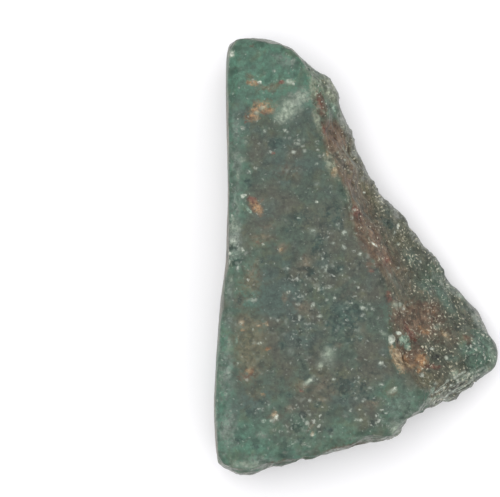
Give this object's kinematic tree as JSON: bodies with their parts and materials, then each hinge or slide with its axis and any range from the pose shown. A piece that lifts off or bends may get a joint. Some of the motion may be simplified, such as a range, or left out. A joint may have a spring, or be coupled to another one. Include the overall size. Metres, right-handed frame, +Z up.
{
  "type": "rough jade stone",
  "caption": "Wedge-shaped rough green stone with a flat sawn top, a sloping broken flank with brown streaks, and a flat sawn back to rest on.",
  "frame": {"origin": "on the surface that the stone lies on, under the middle of its bounding box", "axes": "+Z up out of the sawn top; +Y along the stone from its wide end to its narrow end; +X from the sawn side towards the broken flank"},
  "size_m": [0.018, 0.0282, 0.0069],
  "materials": {
    "jade": "fine-grained, half matt on the sawn faces, sparkling and rough where broken"
  },
  "bodies": {
    "root": {"jade_stone": "jade"}
  },
  "joints": []
}
